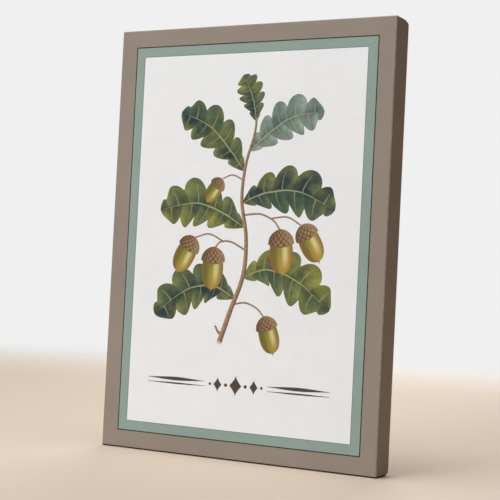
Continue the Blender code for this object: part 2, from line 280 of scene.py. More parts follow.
# %% [markdown]
# Daylight comes from the left and the front, so the picture is evenly lit and the right side of the
# print is in shade. A sun lamp would give harder shadows. A large area light, hung far away, gives
# soft ones, and weaker ones above, on the right and behind lift the rest, as a pale room would.

# %% Hang the lights
PRINT_CENTRE = Vector((0, 0, HEIGHT / 2))


def soft_light(name, place, size, watts, colour):
    """A square area light aimed at the middle of the print."""
    data = bpy.data.lights.new(name, "AREA")
    data.shape = "SQUARE"
    data.size = size
    data.energy = watts
    data.color = colour
    light = bpy.data.objects.new(name, data)
    light.location = place
    light.rotation_euler = (PRINT_CENTRE - Vector(place)).to_track_quat("-Z", "Y").to_euler()
    bpy.context.scene.collection.objects.link(light)
    return light.name


print("lights hung:",
      soft_light("window_light", (-2.6, -7.4, 3.0), 4.2, 376, (0.885, 0.945, 1.0)),
      soft_light("ceiling_light", (-0.5, -0.6, 3.3), 2.2, 84, (0.98, 0.99, 1.0)),
      soft_light("side_light", (1.9, -0.5, 2.3), 1.6, 3.3, (1.0, 0.95, 0.90)),
      soft_light("back_light", (-1.2, 3.4, 1.6), 2.0, 60, (1.0, 0.99, 0.97)))

# %% [markdown]
# Print canvas is a plain weave: each thread goes over one and under one. The weave could be carved
# in the mesh, but there are over a million crossings. It is a relief in the shader instead, worked
# out from a map that gives each point its place on the flat cloth, so the threads run on round the
# edges. Two sines make the threads, their signs say which is on top, and slow noise bends them.

# %% Weave the cloth in nodes
THREAD = 0.55 * MM
THREAD_DEPTH = 0.12 * MM
THREAD_DRIFT = THREAD * 0.9


def weave_group():
    """A node group that gives the height of the weave and a tint for each thread."""
    group = bpy.data.node_groups.new("plain_weave", "ShaderNodeTree")
    for name in ("Height", "Tint"):
        group.interface.new_socket(name=name, in_out="OUTPUT", socket_type="NodeSocketFloat")
    place = cloth_place(group)
    drift = add(group, "TexNoise", {"Vector": place, "Scale": 260.0}).outputs["Color"]
    inputs = {0: drift, 1: (0.5, 0.5, 0.5)}
    centred = add(group, "VectorMath", inputs, operation="SUBTRACT").outputs[0]
    inputs = {0: centred, 1: [THREAD_DRIFT] * 3, 2: place}
    bent = add(group, "VectorMath", inputs, operation="MULTIPLY_ADD").outputs[0]
    axes = add(group, "SeparateXYZ", {0: bent}).outputs
    waves = [maths("SINE", times(axes[axis], math.pi / THREAD)) for axis in "XY"]
    over = maths("GREATER_THAN", times(*waves), 0.0)
    across, along = (maths("ABSOLUTE", wave) for wave in waves)
    warp = times(maths("POWER", across, 0.9), maths("POWER", along, 0.35))
    weft = times(maths("POWER", across, 0.35), maths("POWER", along, 0.9))
    height = add(group, "Mix", {0: over, 2: weft, 3: warp}).outputs[0]
    tint = 1.0
    for stretch in ((30.0, 900.0, 1.0), (900.0, 30.0, 1.0)):
        tint = plus(tint, mottle(stretched(place, stretch), 1.0, -0.5, 0.5, 3.0))
    result = group.nodes.new("NodeGroupOutput")
    group.links.new(height, result.inputs["Height"])
    group.links.new(tint, result.inputs["Tint"])
    return group


WEAVE = weave_group()


def woven(shader, colour, streaks=0.03, pit_shade=0.10, relief=0.5):
    """Gives a shader the weave: relief, painted shade in the pits and faintly uneven threads."""
    weave = add(shader.id_data, "Group", node_tree=WEAVE).outputs
    # Painted shade: the low places between the threads are darkened, as their shade would darken them
    shade = ramp(weave["Height"], 0.0, 1.0, 1.0 - pit_shade, 1.0, smooth=False)
    uneven = ramp(weave["Tint"], 0.0, 2.0, 1.0 - streaks, 1.0 + streaks, smooth=False)
    colour = shaded(colour, times(shade, uneven))
    dress(shader, colour, weave["Height"], relief, THREAD_DEPTH)


print(f"weave of {1 / (THREAD * 100):.0f} threads to the centimetre")

# %% [markdown]
# The sheet has seven finishes: the taupe edge that also covers the sides, a thin dark line, the
# sage band, a fine grey line, the off-white field, the bare primer on the flap and the raw cotton
# behind. Ink on canvas is matt and a little blotchy, so a slow noise varies it. Wear follows the
# shape: an attribute on the mesh, which is one along the outer edges, lets primer show where they
# get rubbed. Near the floor, the edge that the print stands on is darkened: partly soil, and partly
# painted shade that stands in for the dark contact line under it.

# %% Mix the printed finishes
TAUPE = ink(152, 140, 128)
DARK_LINE = ink(50, 54, 44)
SAGE = ink(147, 167, 159)
FINE_LINE = ink(88, 102, 94)
FIELD = ink(240, 242, 244)
PRIMER = ink(238, 236, 230)
RAW_CLOTH = ink(234, 227, 211)
FLECK = ink(150, 128, 98)
# Soil and painted contact shade for the lowest few millimetres of the edge
SOIL_AND_SHADE = ink(62, 48, 32)
SOIL_AND_SHADE_REACH = 3.2 * MM
RUBBED = "rubbed"


def printed(name, colour, blotch=0.035, rub=0.0, pit_shade=0.10):
    """A printed finish on the weave."""
    finish, tree, shader = new_finish(name, 0.78, 0.22)
    place = object_place(tree)
    base = shaded(colour, mottle(place, 14.0, 1.0 - blotch, 1.0 + blotch, 5.0, 0.6))
    if rub:
        edge = add(tree, "Attribute", attribute_name=RUBBED).outputs["Fac"]
        worn = ramp(noise(place, 160.0, 4.0), 0.48, 0.72, 0.0, rub)
        base = blend(times(edge, worn), base, PRIMER)
        # Painted shade: the edge is darkened close to the floor, partly soil and partly a painted
        # contact shadow
        up = add(tree, "SeparateXYZ", {0: place}).outputs["Z"]
        soil_and_shade = ramp(up, SOIL_AND_SHADE_REACH / 2, SOIL_AND_SHADE_REACH, 1.0, 0.0)
        base = blend(soil_and_shade, base, SOIL_AND_SHADE, "MULTIPLY")
    woven(shader, base, pit_shade=pit_shade)
    return finish


def raw_cloth_finish():
    """The unprinted back of the cloth: natural cotton with small seed flecks."""
    finish, tree, shader = new_finish("raw_cotton", 0.85, 0.2)
    place = cloth_place(tree)
    base = blend(ramp(cells(place, 130.0), 0.05, 0.12, 0.55, 0.0), RAW_CLOTH, FLECK)
    base = shaded(base, mottle(place, 9.0, 0.95, 1.04))
    woven(shader, base, streaks=0.14, pit_shade=0.22, relief=0.9)
    return finish


CLOTH_FINISHES = [
    printed("taupe_print", TAUPE, rub=0.5),
    printed("dark_line_print", DARK_LINE),
    printed("sage_print", SAGE),
    printed("fine_line_print", FINE_LINE),
    printed("field_print", FIELD, blotch=0.012, pit_shade=0.05),
    printed("bare_primer", PRIMER, blotch=0.02),
    raw_cloth_finish(),
]
TAUPE_PART, LINE_PART, SAGE_PART, FINE_LINE_PART, FIELD_PART, PRIMER_PART, RAW_PART = range(7)
print("cloth finishes:", ", ".join(finish.name for finish in CLOTH_FINISHES))

# %% [markdown]
# The cloth is one sheet. It is flat in front, turns over a crisp front edge, covers the deep side,
# turns over the back edge and ends on the back as a flap. Its section is the same all round, so it
# can be swept: each step of the section is a ring, with its distance in from the outer faces, its
# depth, the direction that it faces and the radius of its corners, which get rounder towards the
# folded back. Its run is the length of cloth from the front's edge, counted along the section. The
# printed bands are given by their widths and finishes, from the outside in.

# %% Draw the section of the wrapped cloth
CLOTH = 0.45 * MM
EDGE_ROLL = 2.2 * MM
CORNER_ROLL = 1.9 * MM
TIGHT_ROLL = CORNER_ROLL * 0.3
ROLL_START = EDGE_ROLL * 1.3
BACK_CORNER_ROLL = 7.0 * MM
CORNER_EASE = 16 * MM
FLAP = 26 * MM
BANDS = ((7 * MM, TAUPE_PART), (11 * MM, TAUPE_PART), (11 * MM, TAUPE_PART), (1.8 * MM, LINE_PART),
         (15.1 * MM, SAGE_PART), (0.8 * MM, FINE_LINE_PART))
PRINT_OVERRUN = 10 * MM
SIDE_STEP = 2.4 * MM
FLAP_STEP = 2.0 * MM
SECTION = []


def smooth_step(value, low, high):
    """0 below low, 1 above high and an even S between them."""
    share = np.clip((value - low) / (high - low), 0.0, 1.0)
    return share * share * (3 - 2 * share)


def corner_radius(y):
    """The corner's radius at a depth."""
    return CORNER_ROLL + (BACK_CORNER_ROLL - CORNER_ROLL) * smooth_step(y, BACK - CORNER_EASE, BACK)


def lay(inset, y, facing, corner, part=TAUPE_PART):
    """Adds a ring to the section. facing is its outward direction, outward and back."""
    run = -inset
    if SECTION:
        last = SECTION[-1]
        run = last.run + math.hypot(inset - last.inset, y - last.y)
    SECTION.append(SimpleNamespace(inset=inset, y=y, facing=facing, corner=corner, part=part,
                                   run=run, on_front=corner == 0))


for count in range(len(BANDS), 0, -1):
    lay(sum(wide for wide, _ in BANDS[:count]), FRONT, (0, -1), 0.0, BANDS[count - 1][1])
lay(ROLL_START, FRONT, (0, -1), TIGHT_ROLL)
for angle in np.linspace(0, math.pi / 2, 6):
    out, ahead = math.sin(angle), math.cos(angle)
    corner = TIGHT_ROLL + (CORNER_ROLL - TIGHT_ROLL) * out
    lay(EDGE_ROLL * (1 - out), FRONT + EDGE_ROLL * (1 - ahead), (out, -ahead), corner)
side_start, side_end = FRONT + EDGE_ROLL, BACK - EDGE_ROLL
steps = round((side_end - side_start) / SIDE_STEP)
for y in np.linspace(side_start, side_end, steps + 1)[1:-1]:
    lay(0.0, y, (1, 0), corner_radius(y))
for angle in np.linspace(0, math.pi / 2, 7):
    out, behind = math.cos(angle), math.sin(angle)
    y = BACK - EDGE_ROLL * (1 - behind)
    lay(EDGE_ROLL * (1 - out), y, (out, behind), corner_radius(y))
steps = round((FLAP - EDGE_ROLL) / FLAP_STEP)
for inset in np.linspace(EDGE_ROLL, FLAP, steps + 1)[1:]:
    corner = max(TIGHT_ROLL, BACK_CORNER_ROLL + EDGE_ROLL - inset)
    lay(inset, BACK, (0, 1), corner, TAUPE_PART if inset < PRINT_OVERRUN else PRIMER_PART)
CLOTH_OVER = SECTION[-1].run
print(f"{len(SECTION)} rings, and {CLOTH_OVER * 1000:.1f} mm of cloth past each edge of the front")

# %% [markdown]
# At each corner the spare cloth is folded under the top and bottom flaps. The fold starts at the
# front corner and its hidden edge runs back at 45 degrees, so the cloth above it stands a little
# proud, and its outer edge is a small rolled lip beside the corner. It could be simulated, but a
# fold that is pressed flat is simpler to draw: five columns of points move from where they rest to
# where the lip is.

# %% Set out the four sides and their folds
LIP_REST = np.array([2.20, 2.35, 2.50, 2.65, 3.20]) * MM
LIP_FOLD = np.array([2.20, 2.78, 2.45, 2.60, 3.20]) * MM
LIP_RISE = np.array([0.0, 0.04, 0.50, 0.92, 1.0])
FIRST_COLUMN = 2.5 * MM
FIRST_GAP = 1.2 * MM
FOLDED_GAP = 2.0 * MM
PLAIN_GAP = 3.0 * MM
WIDE_GAP = 5.0 * MM
DENSE_SPAN = 84 * MM


def side_places(length, folded):
    """Distances of a side's columns from its first corner, closer together near its ends."""
    start = LIP_REST if folded else [FIRST_COLUMN]
    near = np.arange(start[-1] + FIRST_GAP, DENSE_SPAN, FOLDED_GAP if folded else PLAIN_GAP)
    count = int((length / 2 - DENSE_SPAN) / WIDE_GAP)
    middle = np.linspace(DENSE_SPAN, length / 2, count + 1)
    half = np.concatenate([start, near, middle])
    return np.concatenate([half, length - half[-2::-1]])


def new_side(start, end, folded):
    """A side of the print: the ways along and out of it, its columns and what its lips do."""
    length = np.linalg.norm(end - start)
    along = (end - start) / length
    places = side_places(length, folded)
    shift, share = np.zeros(len(places)), np.ones(len(places))
    if folded:
        lip = len(LIP_REST)
        shift[:lip], share[:lip] = LIP_FOLD - LIP_REST, LIP_RISE
        shift[-lip:], share[-lip:] = (LIP_REST - LIP_FOLD)[::-1], LIP_RISE[::-1]
    return SimpleNamespace(start=start, along=along, out=np.array([along[1], -along[0]]),
                           length=length, folded=folded, places=places, lip_shift=shift,
                           lip_share=share)


CORNERS = np.array([(-WIDTH / 2, 0), (WIDTH / 2, 0), (WIDTH / 2, HEIGHT), (-WIDTH / 2, HEIGHT)])
SIDES = [new_side(start, end, folded) for start, end, folded
         in zip(CORNERS, np.roll(CORNERS, -1, axis=0), (True, False, True, False))]
print("columns on the four sides:", [len(side.places) for side in SIDES])

# %% [markdown]
# Now each ring's points are placed on the wrapped cloth. Staples press it down and it swells
# between them, the fold lifts it, and the raw edge is a little wavy. A canvas without these looks
# moulded. They could be sculpted, but a formula for each fits any size and finds the staples by
# itself. The printed borders sit a trace to the right of the middle.

# %% Place the points of a side
FOLD_RISE = 0.40 * MM
FOLD_RISE_BACK = 0.62 * MM
FOLD_SOFT = 3.0 * MM
SWELL = 0.30 * MM
STAPLE_REACH = 7 * MM
STAPLE_PRESS = 0.8
EDGE_WAVE = 0.5 * MM
SLOW_WAVE = 210.0
QUICK_WAVE = 533.0
PRINT_SHIFT = np.array([1.3 * MM, 0.0])

staple_boxes = [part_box(name) for name in sorted(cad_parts) if name.startswith("staple_")]
staple_spots = np.array([((low + high) / 2).xz for low, high in staple_boxes])


def near_staple(flat):
    """1 under a staple, falling to 0 around it."""
    gap = np.linalg.norm(flat[:, None] - staple_spots, axis=-1).min(axis=-1)
    return np.exp(-((gap / STAPLE_REACH) ** 2))


def across_side(side, ring):
    """How far along a side one ring's points are, between that ring's corners."""
    start = ring.inset + max(0.0, ring.corner - CORNER_ROLL)
    return start + side.places * (1 - 2 * start / side.length)


def side_points(side, ring, inner):
    """One ring's points on one straight side."""
    out_share, back_share = ring.facing
    across = across_side(side, ring)
    inset = np.full(len(across), ring.inset)
    if ring.run == CLOTH_OVER:
        wave = 0.6 * np.sin(side.places * SLOW_WAVE) + 0.4 * np.sin(side.places * QUICK_WAVE + 1.0)
        inset += EDGE_WAVE * wave
    moved = np.zeros(len(across))
    if side.folded and not ring.on_front:
        inset += FOLD_RISE
        if not inner:
            from_corner = np.minimum(across, side.length - across)
            tucked = smooth_step(ring.run - from_corner, -FOLD_SOFT / 2, FOLD_SOFT)
            rise = FOLD_RISE + (FOLD_RISE_BACK - FOLD_RISE) * max(back_share, 0)
            moved += tucked * side.lip_share * rise
            across = across + side.lip_shift * tucked
    flat = side.start + np.outer(across, side.along) - np.outer(inset, side.out)
    flat += PRINT_SHIFT * ring.on_front
    if inner:
        moved -= CLOTH
    elif back_share > 0:
        pressed = near_staple(flat)
        on_flap = smooth_step(ring.inset, EDGE_ROLL, EDGE_ROLL * 2)
        moved += SWELL * on_flap * (1 - pressed)
        moved *= 1 - STAPLE_PRESS * on_flap * pressed
    flat += np.outer(moved, side.out) * out_share
    return np.insert(flat, 1, ring.y + moved * back_share, axis=1)


print(f"{len(staple_spots)} staples press the cloth")

# %% [markdown]
# A ring turns each corner on a small arc, except on the flat front, where the printed bands meet in
# sharp mitres and one point is enough. A Bevel modifier could round the corners, but here their
# radius changes from ring to ring, and the inside turns on a tighter arc than the outside.

# %% Place the points of a corner
ARC_POINTS = 7
SMALLEST_ROLL = 0.12 * MM


def arc_angles(ring):
    """The angles of a ring's points round a corner."""
    return np.linspace(0, math.pi / 2, 1 if ring.on_front else ARC_POINTS)


def corner_points(before, side, ring, inner):
    """One ring's points round the corner between two sides."""
    out_share, back_share = ring.facing
    thick = CLOTH if inner else 0.0
    y = ring.y - thick * back_share
    if ring.on_front:
        mitre = side.start + (side.along - side.out) * ring.inset + PRINT_SHIFT
        return [(mitre[0], y, mitre[1])]
    inside = ring.inset + thick * out_share
    radius = max(ring.corner - thick * out_share, SMALLEST_ROLL)
    centre = side.start + side.along * (inside + before.folded * FOLD_RISE + radius)
    centre -= side.out * (inside + side.folded * FOLD_RISE + radius)
    angles = arc_angles(ring)
    round_it = np.outer(np.sin(angles), side.out) - np.outer(np.cos(angles), side.along)
    return np.insert(centre + radius * round_it, 1, y, axis=1)


print("points round a corner:", ARC_POINTS)

# %% [markdown]
# The same points are then placed on the flat cloth, as it was before it was stretched, because the
# weave is drawn there. Unwrapping the mesh would only guess at this, while the section gives it
# exactly. The left and right sides keep the cloth of the arcs, so the seam lies under the fold's
# lip. A second map packs the outside and the inside into one square, so that the finished colours
# can be baked to a picture later.

# %% Place a ring on the flat cloth
BAKE_MAP = "OFBake"
MAP_SCALE = 1.074
MAP_MARGIN = 4 * MM
INNER_SHARE = 0.39


def flat_places(ring, further=0.0):
    """A ring's places on the flat cloth, or further out: for each side, its first arc and itself."""
    strips = []
    run = ring.run + further
    end = ring.inset + ring.corner
    angles = arc_angles(ring)
    for side in SIDES:
        start = side.start + PRINT_SHIFT * ring.on_front
        if side.folded:
            arc = start + np.outer(ring.corner * angles - end, side.out) - side.along * run
        else:
            round_it = end + ring.corner * (angles - math.pi / 2)
            arc = start + np.outer(round_it, side.along) + side.out * run
        across = [end, *across_side(side, ring), side.length - end]
        strips += [arc, start + np.outer(across, side.along) + side.out * run]
    return strips


def bake_places(places, inner):
    """Where places on the flat cloth go in the square that is baked."""
    margin = CLOTH_OVER + MAP_MARGIN
    spots = (places + (WIDTH / 2 + margin, margin)) * MAP_SCALE
    if inner:
        return spots * INNER_SHARE + ((WIDTH + 2 * margin) * MAP_SCALE, 0.0)
    return spots


print("baked square is filled to", bake_places(CORNERS[2] + CLOTH_OVER, True).round(3))

# %% [markdown]
# The cloth and the ink are built face by face in a bmesh, Blender's mesh for editing, because each
# face needs its own places on two maps. A modifier could not give those. The same helpers serve
# both. A corner is a vertex together with its place on either map.

# %% Build a mesh with two maps
def new_mesh(*maps):
    """An empty mesh to build, with its maps."""
    building = bmesh.new()
    for name in maps:
        building.loops.layers.uv.new(name)
    return building


def add_face(building, corners, part):
    """A face whose corners are vertices, each with its place on every map."""
    face = building.faces.new([vertex for vertex, *_ in corners])
    face.material_index = part
    for loop, (_, *places) in zip(face.loops, corners):
        for layer, place in zip(building.loops.layers.uv.values(), places):
            loop[layer].uv = place


def canvas_piece(name, building, finishes):
    """Turns a built mesh into an object with its finishes, attached to the root body."""
    mesh = bpy.data.meshes.new(name)
    building.to_mesh(mesh)
    building.free()
    for finish in finishes:
        mesh.materials.append(finish)
    piece = bpy.data.objects.new(name, mesh)
    bpy.context.scene.collection.objects.link(piece)
    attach(piece, "root")
    return piece


print("the cloth gets the maps", CLOTH_MAP, "and", BAKE_MAP)

# %% [markdown]
# Rings are joined by quads, and where a sharp corner of the printed bands meets a rounded ring, by
# a fan of triangles. Bridging edge loops would join them too, but it chooses its own pairs of
# points, and here each point has to meet the one that lies next to it on the flat cloth.

# %% Join the rings
def lay_ring(sheet, ring, inner):
    """Adds one ring's vertices. Returns eight strips: for each side, its first arc and itself."""
    arcs, lines = [], []
    for before, side in zip([SIDES[-1], *SIDES], SIDES):
        arcs.append([sheet.verts.new(point) for point in corner_points(before, side, ring, inner)])
        lines.append([sheet.verts.new(point) for point in side_points(side, ring, inner)])
    strips = []
    for arc, line, following in zip(arcs, lines, [*arcs[1:], arcs[0]]):
        strips += [arc, [arc[-1], *line, following[0]]]
    return strips


def with_places(strips, places, inner):
    """Turns strips of vertices into strips of corners."""
    return [list(zip(strip, flat, bake_places(flat, inner))) for strip, flat in zip(strips, places)]


def join_rings(sheet, near, far, part, inner):
    """Quads between the strips of two rings, or a fan from a strip of one point."""
    for near_strip, far_strip in zip(near, far):
        fan = len(near_strip) == 1
        for step in range(len(far_strip) - 1):
            corners = [near_strip[0 if fan else step], far_strip[step], far_strip[step + 1]]
            if not fan:
                corners.append(near_strip[step + 1])
            add_face(sheet, corners[::-1] if inner else corners, part)


print("strips to a ring:", 2 * len(SIDES))

# %% [markdown]
# The middle of the front is one flat field. A single face would do, but it would be cut into long
# thin triangles, which shade badly, so a Delaunay triangulation fills it with an even net.

# %% Fill the flat field
FIELD_NET = 12 * MM
NET_WELD = 1e-7


def fill_field(sheet, ring, y, part, inner):
    """An even net of triangles inside the innermost ring."""
    rim = [corner for strip in ring[1::2] for corner in strip[:-1]]
    edge = np.array([flat for _, flat, _ in rim])
    nets = []
    for low, high in zip(edge.min(axis=0), edge.max(axis=0)):
        nets.append(np.linspace(low, high, int((high - low) / FIELD_NET) + 1)[1:-1])
    spots = [Vector(spot) for spot in (*edge, *((x, z) for z in nets[1] for x in nets[0]))]
    loop = [(step, (step + 1) % len(edge)) for step in range(len(edge))]
    spots, _, faces, sources, _, _ = delaunay_2d_cdt(spots, loop, [], 1, NET_WELD)
    corners = []
    for spot, source in zip(spots, sources):
        if source and source[0] < len(rim):
            corners.append(rim[source[0]])
        else:
            vertex = sheet.verts.new((spot.x, y, spot.y))
            corners.append((vertex, spot, bake_places(np.array(spot), inner)))
    for face in faces:
        face = [corners[number] for number in face]
        add_face(sheet, face[::-1] if inner else face, part)


print(f"the net has a point every {FIELD_NET * 1000:.0f} mm")

# %% [markdown]
# A second surface lies one cloth's thickness inside the first, and a rim joins the two along the
# raw edge, so the sheet is a closed solid. A Solidify modifier would thicken it too, but it would
# copy the folds to the inside, which is raw cotton and lies flat on the bars.

# %% Build the sheet
sheet = new_mesh(CLOTH_MAP, BAKE_MAP)
raw_edges = []
for inner in (False, True):
    strips = [lay_ring(sheet, ring, inner) for ring in SECTION]
    rings = [with_places(strip, flat_places(ring), inner) for strip, ring in zip(strips, SECTION)]
    field_part = RAW_PART if inner else FIELD_PART
    fill_field(sheet, rings[0], FRONT + CLOTH * inner, field_part, inner)
    for ring, near, far in zip(SECTION, rings, rings[1:]):
        join_rings(sheet, near, far, RAW_PART if inner else ring.part, inner)
    raw_edges.append(strips[-1])
outside, inside = (with_places(strips, flat_places(SECTION[-1], further), False)
                   for strips, further in zip(raw_edges, (0.0, CLOTH)))
join_rings(sheet, outside, inside, RAW_PART, False)
cloth = canvas_piece("stretched_cloth", sheet, CLOTH_FINISHES)
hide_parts("canvas")
print("cloth:", len(cloth.data.vertices), "points,", len(cloth.data.polygons), "faces")

# %% [markdown]
# Hands and floors rub a canvas along its outer edges first. Those could be painted by hand, but
# nearness to an edge is easy to work out: a point on an outer edge lies close to two of the cloth's
# outer faces at once. Each point stores that as an attribute, and the taupe finish reads it. The
# shading is smooth but for real creases.

# %% Mark the rubbed edges
RUB_REACH = 2.2 * MM
CREASE = math.radians(50)


def mark_points(mesh, name, values):
    """Stores one value for each point, for a finish to read."""
    marks = mesh.attributes.new(name, "FLOAT", "POINT")
    marks.data.foreach_set("value", np.array(values, np.float32))


mesh = cloth.data
spots = np.array([vertex.co for vertex in mesh.vertices])
to_faces = np.column_stack([WIDTH / 2 - np.abs(spots[:, 0]),
                            np.minimum(spots[:, 2], HEIGHT - spots[:, 2]),
                            np.minimum(spots[:, 1] - FRONT, BACK - spots[:, 1])])
two_nearest = np.sort(to_faces, axis=1)[:, :2].sum(axis=1)
mark_points(mesh, RUBBED, 1 - smooth_step(two_nearest, 0.0, RUB_REACH))
mesh.shade_smooth()
mesh.set_sharp_from_angle(angle=CREASE)
print("rubbed points:", int((two_nearest < RUB_REACH).sum()))

# %% [markdown]
# The picture is a plain botanical plate: one branch with lobed leaves and nuts in their cups. An
# image could be mapped on the cloth, but ink laid as thin films stays sharp at any size. Each shape
# is a grid that follows a curved rib, and it remembers how far along and across the shape each
# point is, which is all that its finish needs. Sizes here are millimetres, as on a drawing.

# %% Draw shapes along a rib
def smooth_line(points, count):
    """Points on a smooth curve through given ones, as many between each two."""
    points = np.array(points, float)
    ends = np.vstack([2 * points[0] - points[1], points, 2 * points[-1] - points[-2]])
    places = np.linspace(0, len(points) - 1, count)
    spans = np.minimum(places.astype(int), len(points) - 2)
    part = (places - spans)[:, None]
    before, start, end, after = (ends[spans + step] for step in range(4))
    return 0.5 * (2 * start + (end - before) * part
                  + (2 * before - 5 * start + 4 * end - after) * part ** 2
                  + (3 * start - before - 3 * end + after) * part ** 3)


def shape(finish, height, rib, left, right=None, columns=5, sweep=0.0, bulge=0.0):
    """A grid along a rib, with its widths to the left and right. sweep leans its rows forward up
    to the tip, bulge rounds them, and height counts the steps of ink that it stands proud."""
    along = np.linspace(0, 1, len(rib))
    sweep = sweep * (1 - smooth_step(along, 0.80, 0.98))[:, None]
    ahead = np.gradient(rib, axis=0)
    ahead /= np.linalg.norm(ahead, axis=1)[:, None]
    aside = np.column_stack([ahead[:, 1], -ahead[:, 0]])
    across = np.linspace(-1, 1, columns)
    reach = np.outer(left if right is None else right, across)
    reach = np.where(across < 0, np.outer(left, across), reach)
    forward = sweep * reach * across + bulge * (1 - across ** 2)
    grid = rib[:, None] + reach[..., None] * aside[:, None] + forward[..., None] * ahead[:, None]
    return grid, np.dstack(np.meshgrid(along, across, indexing="ij")), finish, height


print("a smooth line:", smooth_line(((0, 0), (8, 5), (16, 0)), 5).round(1).tolist())

# %% [markdown]
# A grid becomes ink by being closed to a solid a few hundredths of a millimetre thick: the grid, a
# copy of it sunk into the cloth and a wall round the two. A Solidify modifier would do the same for
# simple shapes, but it tangles where the lobes of a leaf fold over each other. The film carries the
# flat cloth's map too, so the weave shows through the ink.

# %% Lay films of ink
INK_STEP = 0.03 * MM
INK_SINK = 0.05 * MM
SHAPE_MAP = "shape"
TONE = "tone"


def closed_faces(flat, rows, columns):
    """The faces between a grid and its copy, as numbers of their points."""
    count = rows * columns
    index = np.arange(count).reshape(rows, columns)
    quads = np.stack([index[:-1, :-1], index[:-1, 1:], index[1:, 1:], index[1:, :-1]], axis=-1)
    quads = quads.reshape(-1, 4)
    rim = np.concatenate([index[0, :-1], index[:-1, -1], index[-1, :0:-1], index[:0:-1, 0]])
    x, z = flat[rim].T
    if (np.roll(x, 1) * z - np.roll(z, 1) * x).sum() < 0:
        quads, rim = quads[:, ::-1], rim[::-1]
    before = np.roll(rim, 1)
    walls = np.column_stack([before, before + count, rim + count, rim])
    return np.concatenate([quads, quads[:, ::-1] + count, walls])


def film(name, shapes, tone=0.5):
    """A piece of print made of shapes. tone is a number that its finishes can read."""
    ink_film = new_mesh(CLOTH_MAP, SHAPE_MAP)
    finishes = []
    for grid, places, finish, height in shapes:
        if finish not in finishes:
            finishes.append(finish)
        flat = grid.reshape(-1, 2) * MM + PRINT_SHIFT
        corners = []
        for y in (FRONT - height * INK_STEP, FRONT + INK_SINK):
            vertices = [ink_film.verts.new((x, y, z)) for x, z in flat]
            corners += zip(vertices, flat, places.reshape(-1, 2))
        for face in closed_faces(flat, *grid.shape[:2]):
            add_face(ink_film, [corners[number] for number in face], finishes.index(finish))
    piece = canvas_piece("printed_" + name, ink_film, finishes)
    mark_points(piece.data, TONE, np.full(len(piece.data.vertices), tone))


print(f"one ink step is {INK_STEP * 1000:.2f} mm")

# %% [markdown]
# A painted leaf has a pale midrib, pale veins that lean forward into each lobe, a darker line along
# its edge, and washes that run from blue green to olive. Every one of these is a simple rule of the
# two numbers that the shape map gives, along and across, so no drawing is needed. Washes of noise
# on top keep two leaves from looking alike.

# %% Mix the leaf paints
LOBES = 5
LOBE_SHIFT = 0.35
BLUE_GREEN = ink(34, 62, 66)
MID_GREEN = ink(88, 112, 78)
OLIVE = ink(136, 140, 62)
PALE_VEIN = ink(176, 180, 134)
UNDERSIDE = ink(142, 160, 146)
UNDERSIDE_DARK = ink(96, 120, 112)


def paint(name, recipe, *colours):
    """A paint on the weave. Its recipe works out the colour from where a point is on its film."""
    finish, tree, shader = new_finish(name, 0.6)
    place = add(tree, "UVMap", uv_map=SHAPE_MAP).outputs[0]
    axes = add(tree, "SeparateXYZ", {0: place}).outputs
    tone = add(tree, "Attribute", attribute_name=TONE).outputs["Fac"]
    at = SimpleNamespace(along=axes["X"], across=axes["Y"], off_rib=maths("ABSOLUTE", axes["Y"]),
                         film=place, cloth=cloth_place(tree), tone=tone)
    woven(shader, recipe(at, *colours), pit_shade=0.06)
    return finish


def leaf_colour(at, cool, warm, light):
    """A leaf from cool to warm, with its midrib, side veins and net of fine veins."""
    warmth = plus(at.tone, mottle(at.cloth, 26.0, -0.40, 0.40))
    warmth = maths("ADD", warmth, ramp(at.off_rib, 0.3, 1.0, -0.16, 0.26), clamp=True)
    colour = blend(ramp(at.across, -0.1, 0.1, 0.0, 0.40), blend(warmth, cool, warm), light)
    shift = ramp(at.across, -0.001, 0.001, 0.0, LOBE_SHIFT, smooth=False)
    turn = maths("FRACT", maths("MULTIPLY_ADD", at.along, float(LOBES), shift))
    net = cells(at.cloth, 300.0, "DISTANCE_TO_EDGE")
    colour = shaded(colour, ramp(turn, 0.5, 1.0, 0.74, 1.14), ramp(at.off_rib, 0.02, 0.42, 0.72, 1.0),
                    ramp(at.off_rib, 0.92, 1.0, 1.0, 0.72), ramp(net, 0.0, 0.09, 1.16, 1.0),
                    mottle(at.cloth, 95.0, 0.84, 1.14, 6.0))
    gap = maths("ABSOLUTE", minus(turn, 0.5))
    thin = maths("MULTIPLY_ADD", at.off_rib, -0.040, 0.052)
    vein = ramp(gap, 0.0, thin, 0.75, 0.0, smooth=False)
    vein = times(vein, ramp(at.off_rib, 0.6, 0.92, 1.0, 0.0))
    from_rib = maths("DIVIDE", at.off_rib, minus(1.08, at.along))
    lines = maths("MAXIMUM", vein, ramp(from_rib, 0.03, 0.085, 1.0, 0.0))
    return blend(times(lines, 0.75), colour, PALE_VEIN)


LEAF_PAINT = paint("leaf_paint", leaf_colour, BLUE_GREEN, OLIVE, MID_GREEN)
UNDER_PAINT = paint("leaf_underside_paint", leaf_colour, UNDERSIDE_DARK, UNDERSIDE, UNDERSIDE)
print("leaf paints:", LEAF_PAINT.name, UNDER_PAINT.name)

# %% [markdown]
# The branch is bark brown with light on its left. The nuts are olive at the cup and gold towards
# the tip, with fine streaks, a soft highlight and a darker rim that makes them look round. Their
# cups are covered in small scales, drawn as a lattice that crowds towards the sides, as it would on
# a round cup.

# %% Mix the bark, nut and cup paints
BARK = ink(146, 112, 76)
BARK_DARK = ink(84, 60, 38)
BARK_LIGHT = ink(190, 160, 122)
NUT_OLIVE = ink(126, 134, 44)
NUT_GOLD = ink(176, 146, 56)
NUT_SHADE = ink(78, 76, 22)
NUT_RIM = ink(150, 98, 44)
NUT_LIGHT = ink(234, 222, 160)
CUP = ink(154, 122, 82)
CUP_DARK = ink(88, 62, 38)
CUP_SCALES = 7.0
CUT_WOOD = ink(218, 196, 156)


